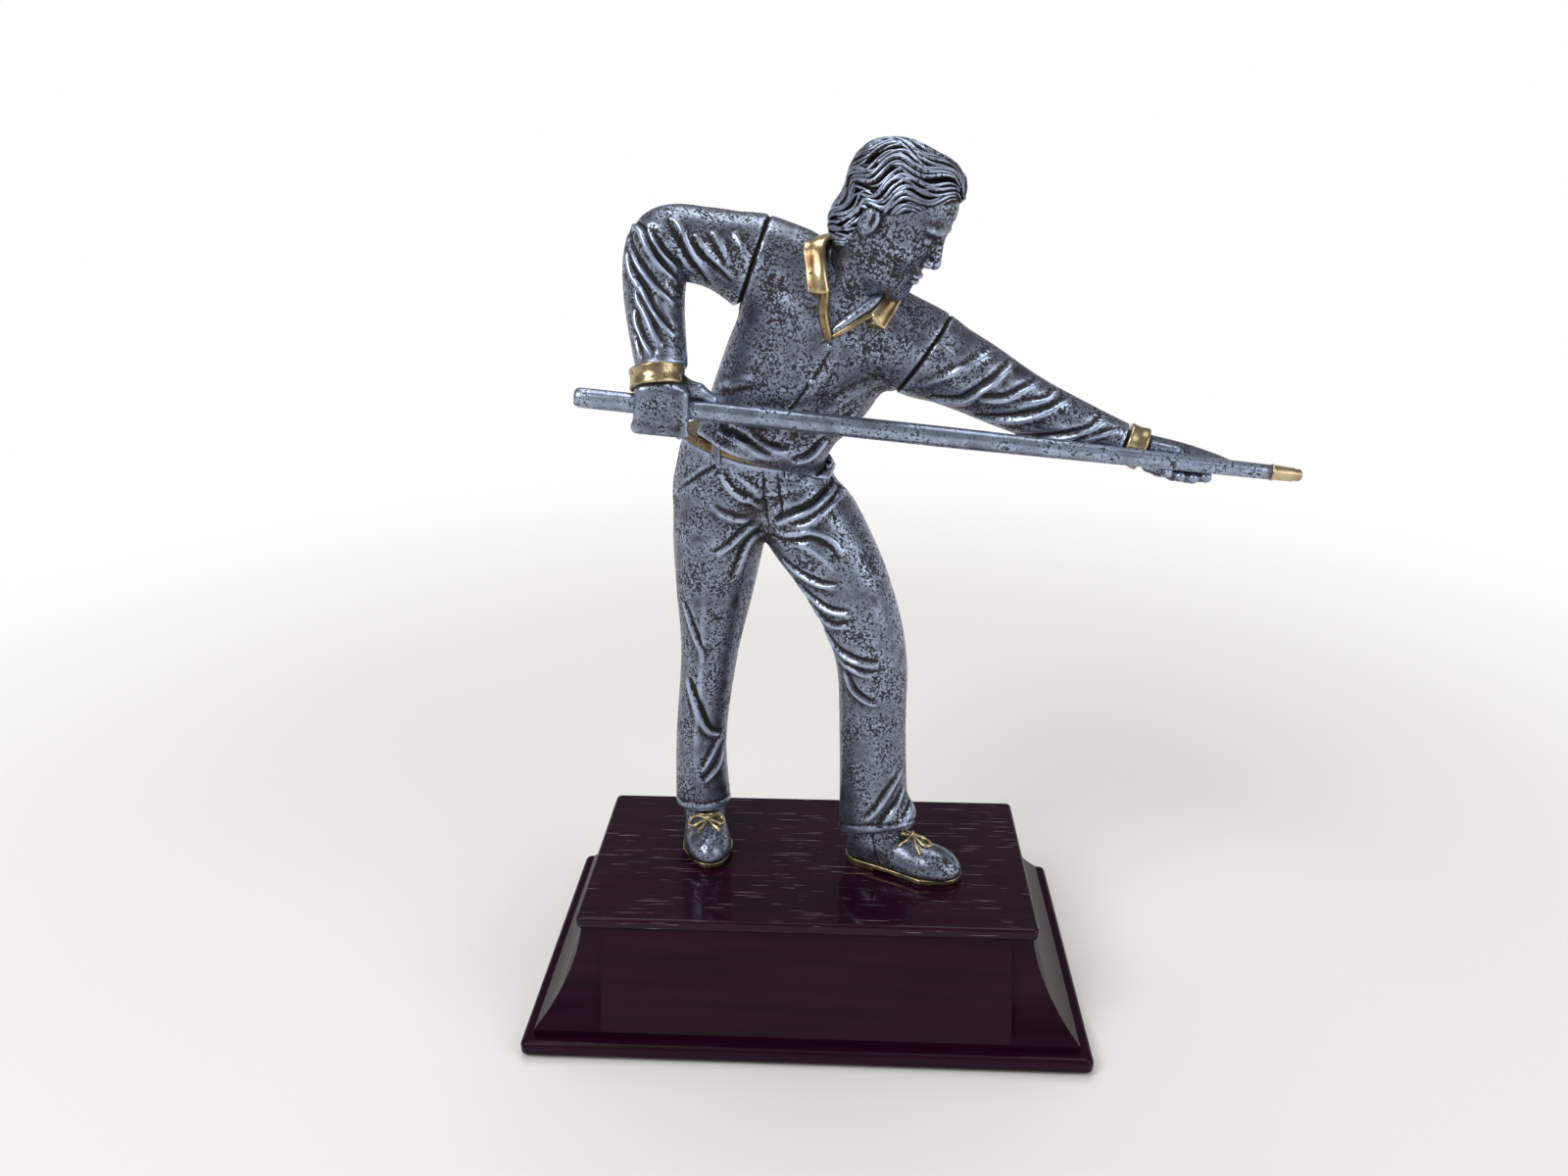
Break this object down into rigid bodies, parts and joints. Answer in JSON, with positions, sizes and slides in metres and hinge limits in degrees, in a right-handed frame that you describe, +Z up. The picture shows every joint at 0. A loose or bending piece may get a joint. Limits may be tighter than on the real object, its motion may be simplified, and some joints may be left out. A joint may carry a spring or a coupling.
{
  "type": "billiards figure trophy",
  "caption": "Antique-silver resin pool player leaning along a cue, gold trim, bolted to a coved rosewood-finish trophy base.",
  "frame": {"origin": "middle of the felt pad's underside, on the surface that the trophy stands on", "axes": "+Z up; the player faces -Y; the cue's tip points to +X, the player's left"},
  "size_m": [0.1907, 0.088, 0.2317],
  "materials": {
    "antique_silver": "cast resin sprayed bluish silver and wiped with a near-black wash that stays in the folds",
    "gold_paint": "cast resin picked out by hand in antique gold metallic paint",
    "rosewood_lacquer": "wood stained very dark red under thick high-gloss clear lacquer",
    "felt": "black pressed felt",
    "zinc_steel": "zinc-plated steel fasteners"
  },
  "bodies": {
    "root": {"trousers": "antique_silver", "shirt_body": "antique_silver", "head": "antique_silver", "right_sleeve": "antique_silver", "left_sleeve": "antique_silver", "right_hand": "antique_silver", "left_hand": "antique_silver", "right_shoe": "antique_silver", "left_shoe": "antique_silver", "cue_shaft": "antique_silver", "shirt_buttons": "antique_silver", "collar": "gold_paint", "right_cuff": "gold_paint", "left_cuff": "gold_paint", "belt": "gold_paint", "right_sole": "gold_paint", "left_sole": "gold_paint", "right_laces": "gold_paint", "left_laces": "gold_paint", "cue_tip": "gold_paint", "plinth_board": "rosewood_lacquer", "pedestal_block": "rosewood_lacquer", "top_board": "rosewood_lacquer", "felt_pad": "felt", "plinth_screws": "zinc_steel", "stud_nuts": "zinc_steel", "stud_washers": "zinc_steel", "right_leg_stud": "zinc_steel", "left_leg_stud": "zinc_steel", "shoulder_dowels": "zinc_steel"}
  },
  "joints": []
}
